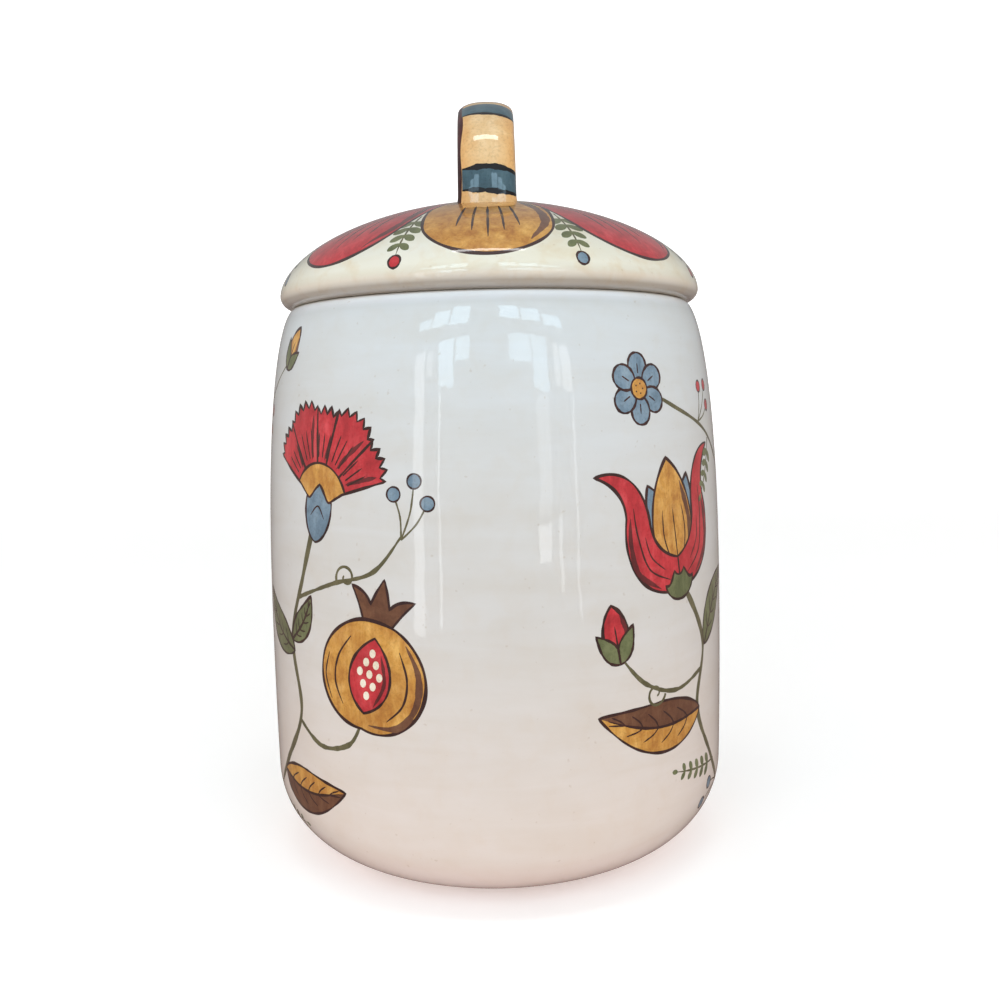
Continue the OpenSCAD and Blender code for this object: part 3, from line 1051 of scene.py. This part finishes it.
def lid_canvas():
    """Eight broad petals round the handle, with leaves and berries between their tips."""
    cv = Canvas()
    for k in range(8):
        with cv.at(0, 0, 22.5 + 45 * k), cv.at(0, 60):
            sprig(cv, 25, 0.0, 4, size=7.2)
            cv.ringed("crimson" if k % 2 else "blue", disc(0, 28, 2.4), 0.8)
    for k in range(8):
        with cv.at(0, 0, 45 * k, 1.11):
            lid_petal(cv, "crimson" if k % 2 else "ochre")
    return cv


def lid_skin():
    """The painted dome and rim, and under them the seat, the grooved flange and the hollow."""
    skin = Skin()
    rings = LID_REACH - lid_line.steps(3.0, 6)[1:-1]
    grid = np.vstack([ring(r, max(8, int(r * LID_POINTS))) for r in rings])
    verts, faces, paints = lay_out(lid_canvas(), ring(LID_REACH, COLUMNS), grid, "lid")
    reach = np.hypot(*verts.T)
    a = np.arctan2(*verts.T)
    r, z = lid_line.at(LID_REACH - reach)
    out, rise = lid_line.outward(LID_REACH - reach)
    out = np.where(reach < 0.5, 0, out)
    rise = np.where(reach < 0.5, 1, rise)
    skin.add(round_z(a, r, z), faces[:, ::-1], paints, round_z(a, out, rise))

    flange = rounded([
        lid_line.points[0], (FLANGE_R, JAR_H), (FLANGE_R, GROOVE_TOP_Z), (GROOVE_R, GROOVE_TOP_Z),
        (GROOVE_R, GROOVE_LOW_Z), (FLANGE_R, GROOVE_LOW_Z), (FLANGE_R, FLANGE_LOW_Z),
        (FLANGE_IN_R, FLANGE_LOW_Z), (FLANGE_IN_R, HOLLOW_Z), (HOLLOW_R, HOLLOW_Z)], FLANGE_SOFT)
    hollow = dome_arc(HOLLOW_R, HOLLOW_H, HOLLOW_Z, 40)
    inside = np.vstack([flange, hollow])[::-1]
    low = np.maximum(inside[1:, 1], inside[:-1, 1]) < FLANGE_LOW_Z + 0.3
    skin.turned(inside, np.where(low, "clay", "lid").tolist())
    return skin.build("lid_painted")


# ---- the handle ----

foot_mid = HANDLE_SPAN / 2
arch_foot_z = float(dome_z(foot_mid)) - FOOT_ROOT
ARCH_H = HANDLE_TOP - STRAP_T / 2 - arch_foot_z
SINK = 0.5                               # how far the feet run into the lid's clay
FILLET, FILLET_H = 0.3, 0.6              # slip smoothed round each foot


def squircle(a, spread=0):
    """The strap's squared-off oval section, widened by spread: its reach sideways and outward at angle a."""
    power = 2 / SECTION_POWER
    return ((STRAP_W + spread) / 2 * np.sign(np.cos(a)) * np.abs(np.cos(a)) ** power,
            (STRAP_T + spread) / 2 * np.sign(np.sin(a)) * np.abs(np.sin(a)) ** power)


def arch(a):
    """The middle of the strap at angle a up from its front foot: how far back it is, and how high."""
    return xy(-foot_mid * np.cos(a), arch_foot_z + ARCH_H * np.sin(a))


section_a = np.radians(np.linspace(-90, 270, 721))
section = xy(*squircle(section_a))
section_run = run_along(section)
STRAP_ROUND = section_run[-1]            # the way round the strap
arch_a = np.radians(np.linspace(0, 180, 721))
arch_line = arch(arch_a)
arch_run = run_along(arch_line)
STRAP_LONG = arch_run[-1]


def above_lid(points):
    """How far each point stands above the lid's dome."""
    return points[:, 2] - dome_z(np.minimum(np.hypot(points[:, 0], points[:, 1]), RIM_R - 1))


def on_strap(round_, long_):
    """Places on the strap: round it from the middle of its inside, and along it from the front foot."""
    b = np.interp(round_, section_run, section_a)
    a = np.interp(long_, arch_run, arch_a)
    along = xy(foot_mid * np.sin(a), ARCH_H * np.cos(a))
    along /= np.hypot(*along.T)[:, None]
    middle = arch(a)
    spread = FOOT_FLARE * (1 - np.sin(a)) ** FLARE_POWER

    def place():
        wide, thick = squircle(b, spread)
        return np.column_stack([wide, middle[:, 0] - along[:, 1] * thick, middle[:, 1] + along[:, 0] * thick])

    above = above_lid(place())
    spread = spread + 2 * FILLET * np.exp(-np.maximum(above, 0) / FILLET_H)
    points = place()
    above = above_lid(points) + SINK
    points[:, 2] -= np.minimum(above, 0) * 0.95
    return points


BANDS = ((True, 15.0, 22.8), (False, 46.8, 54.2))   # if near the top, and from where to where below it
TAN_LEFT, TAN_RIGHT = 12.6, 8.9                     # how far the tan reaches from the strap's middle
BAND_LEFT, BAND_RIGHT = 12.3, 9.0


def strap_canvas():
    """A tan outer face with blue bands, edged in dark, between dark brown sides.

    The canvas runs from the middle of the strap's inside over its +X side, so +X is to its left.
    """
    cv = Canvas()
    middle = STRAP_ROUND / 2
    long_ = np.linspace(-1, STRAP_LONG + 1, 60)
    sway = np.sin(long_ * 0.11) * 0.5 + np.sin(long_ * 0.31 + 1) * 0.3
    tan_left, tan_right = middle - TAN_LEFT + sway * 0.5, middle + TAN_RIGHT + sway
    cv.fill("tan", np.vstack([xy(tan_left, long_), xy(tan_right, long_)[::-1]]))
    left, right = middle - BAND_LEFT, middle + BAND_RIGHT
    for near_top, low, high in BANDS:
        for side in (1, -1):
            place = STRAP_LONG / 2 - side * (low + high) / 2
            half = (high - low) / 2

            def across(shift, bow):
                """A line across the strap, shifted up from the band's middle and lowest on its left."""
                rises = (-1.3, bow - 0.5, bow, 0.1, 0.2)
                places = (left, middle - 6, middle, right - 3, right)
                return curve([(x, place + side * (shift + rise)) for x, rise in zip(places, rises)])

            top, foot = across(half, 0.5), across(-half, -0.3)
            cv.fill("band", np.vstack([top, foot[::-1]]))
            cv.line("ink", foot if near_top else top, 1.5 if near_top else 2.0, (0.4, 0.2), rough=0.2)
            if not near_top:
                cv.line("ink", foot, 1.7, (0.15, 0.3), rough=0.3)
    return cv


def handle_skin():
    """The painted strap, closed at both feet inside the lid's clay."""
    skin = Skin()
    border, grid = sheet(np.linspace(0, STRAP_ROUND, 49), np.linspace(0, STRAP_LONG, 90))
    cv = strap_canvas()
    for _, shape in cv.shapes:
        for loop in shape:
            loop[:, 1] = np.clip(loop[:, 1], 0, STRAP_LONG)
    verts, faces, paints = lay_out(cv, border, grid, "cocoa")
    skin.add(on_strap(verts[:, 0], verts[:, 1]), faces[:, ::-1], paints)
    for end, turn in ((0, 1), (STRAP_LONG, -1)):
        rim = verts[np.abs(verts[:, 1] - end) < WELD]
        rim = on_strap(*rim[np.argsort(rim[:, 0])].T)
        middle = rim.mean(0)
        middle[2] -= above_lid(middle[None])[0] + SINK
        fan = [(k, k + 1, len(rim))[::turn] for k in range(len(rim) - 1)]
        skin.add(np.vstack([rim, middle]), fan, ["cocoa"] * len(fan))
    return skin.build("handle_painted", sharp=60)


# ---- the seal ----


def seal_skin():
    """The ring's band and its soft-edged fins."""
    band_h = GROOVE_H - 2 * SEAL_SIDE
    low = GROOVE_LOW_Z + SEAL_SIDE
    inside, outside, tip = GROOVE_R + SEAL_RUN, FLANGE_R + BAND_PROUD, MOUTH_R - FIN_GAP
    pitch = (band_h - FIN_ROOT) / (FIN_COUNT - 1)
    line = [(inside, low + band_h / 2), (inside, low)]
    for k in range(FIN_COUNT):
        z = low + FIN_ROOT / 2 + k * pitch
        line += [(outside, z - FIN_ROOT / 2), (tip, z - FIN_TIP / 2),
                 (tip, z + FIN_TIP / 2), (outside, z + FIN_ROOT / 2)]
    line += [(inside, low + band_h), (inside, low + band_h / 2)]
    skin = Skin()
    skin.turned(rounded(line, FIN_SOFT), "seal")
    return skin.build("seal_moulded", sharp=50)


jar = jar_skin()
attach(jar, "jar")
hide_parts("jar_body")
lid = lid_skin()
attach(lid, "lid")
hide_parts("lid")
handle = handle_skin()
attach(handle, "lid")
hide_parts("lid_handle")
seal = seal_skin()
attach(seal, "seal")
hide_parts("seal_ring")

# ---- floor and light ----

FLOOR_FLAT, FLOOR_BEND, FLOOR_TOP = 2.4, 1.0, 2.2   # the flat's radius, the curve's, and the top edge, metres
FLOOR_COLUMNS = 96


def plain_floor():
    """A pale round sheet, flat under the jar, that curves up far away on every side."""
    m = Material("pale_floor")
    tone = m.ramp(m.noise(2, 2.0), (0.3, srgb(243, 242, 241)), (0.7, srgb(245, 245, 244)))
    away = m.add("VectorMath", "Value", {0: m.place}, operation="LENGTH")
    m.set(base_color=tone, roughness=0.9, specular_ior_level=0.1, emission_color=srgb(250, 250, 250),
          emission_strength=m.span(away, 0.2, 2.6, 0.24, 0.52))
    line = np.vstack([xy((0.3, 1.0, FLOOR_FLAT), 0),
                      arc(FLOOR_FLAT, FLOOR_BEND, FLOOR_BEND, FLOOR_BEND, -90, 0)[1:],
                      [(FLOOR_FLAT + FLOOR_BEND, FLOOR_TOP)]])
    a = np.arange(FLOOR_COLUMNS) * 2 * math.pi / FLOOR_COLUMNS
    points = round_z(a, line[:, :1], line[:, 1:]).reshape(-1, 3)
    faces = [tuple(range(FLOOR_COLUMNS))] + [face[::-1] for face in tube_faces(len(line), FLOOR_COLUMNS)]
    floor = add_mesh("floor", points, faces, [m.material])
    floor.visible_glossy = False


def panel(name, place, aim, size, radiance, colour, mirrored=True):
    """A rectangular soft light at a place, facing aim, both in metres. The glaze may mirror it."""
    data = bpy.data.lights.new(name, "AREA")
    data.shape = "RECTANGLE"
    data.size, data.size_y = size
    data.energy = radiance * math.pi * size[0] * size[1]
    data.color = colour
    light = bpy.data.objects.new(name, data)
    light.location = place
    light.rotation_euler = (Vector(aim) - Vector(place)).to_track_quat("-Z", "Y").to_euler()
    light.visible_camera = False
    light.visible_glossy = mirrored
    bpy.context.collection.objects.link(light)


PANES = (   # left, right, low and high in metres, how bright, and if it shows the sky
    (-0.405, -0.325, 0.515, 0.585, 4.0, True),
    (-0.315, -0.215, 0.510, 0.640, 4.4, True),
    (-0.205, -0.105, 0.505, 0.690, 4.4, True),
    (0.055, 0.150, 0.530, 0.690, 4.4, True),
    (0.160, 0.270, 0.520, 0.650, 4.2, True),
    (0.285, 0.400, 0.510, 0.590, 4.2, True),
    (-0.250, -0.170, 0.310, 0.430, 4.0, True),
    (-0.160, -0.095, 0.365, 0.430, 3.8, True),
    (0.085, 0.185, 0.355, 0.440, 3.2, True),
    (0.190, 0.275, 0.300, 0.440, 3.2, True),
    (0.315, 0.345, 0.320, 0.425, 2.2, False),
    (0.355, 0.420, 0.310, 0.425, 2.6, False),
    (-0.403, -0.335, -0.030, 0.410, 2.5, False),
    (-0.320, -0.285, 0.335, 0.400, 1.6, False),
    (-0.250, -0.241, -0.010, 0.300, 3.2, False),
    (0.199, 0.265, 0.120, 0.290, 1.1, False),
    (0.194, 0.262, 0.062, 0.112, 2.9, False),
    (0.305, 0.325, 0.020, 0.120, 2.4, False),
    (0.410, 0.424, -0.020, 0.300, 2.4, False))
PANES_Y = -0.55
SKY_LIGHT, HAZE_LIGHT, LAMP_LIGHT = (0.56, 0.82, 1.0), (0.94, 0.97, 1.0), (1.0, 0.99, 0.97)
ROOM_LIGHT = 0.40


def windows():
    """An arched window behind the camera: a row of panes over a crossbar, and tall broken panes below."""
    for number, (left, right, low, high, radiance, sky) in enumerate(PANES):
        x, z = (left + right) / 2, (low + high) / 2
        size = (right - left, high - low)
        panel(f"pane_{number}", (x, PANES_Y, z), (x, 0, z), size, radiance, SKY_LIGHT if sky else HAZE_LIGHT)


def room():
    """Even light from all round: cool above and warm towards the table."""
    world = bpy.data.worlds.new("room")
    world.use_nodes = True
    n = Nodes(world, "Generated")
    tone = n.ramp(n.span(n.axis("Z"), -1, 1), (0.3, (0.42, 0.30, 0.26, 1)), (0.5, (0.62, 0.54, 0.50, 1)),
                  (0.62, (0.74, 0.74, 0.74, 1)), (1.0, (0.92, 0.97, 1.0, 1)))
    background = n.tree.nodes["Background"]
    n.feed(background.inputs["Color"], tone)
    n.feed(background.inputs["Strength"], ROOM_LIGHT)
    bpy.context.scene.world = world


plain_floor()
windows()
panel("overhead", (0, -0.2, 1.6), (0, 0, 0.1), (1.6, 1.6), 0.45, LAMP_LIGHT, mirrored=False)
panel("left_fill", (-1.1, 0.0, 0.45), (0, 0, 0.15), (0.8, 0.8), 0.80, (1.0, 0.90, 0.85), mirrored=False)
panel("right_fill", (1.1, 0.0, 0.45), (0, 0, 0.15), (0.8, 0.8), 0.60, (1.0, 0.86, 0.80), mirrored=False)
panel("lamp", (0, -0.33, 1.4), (0, 0, 0.26), (0.55, 0.10), 9, LAMP_LIGHT)
room()
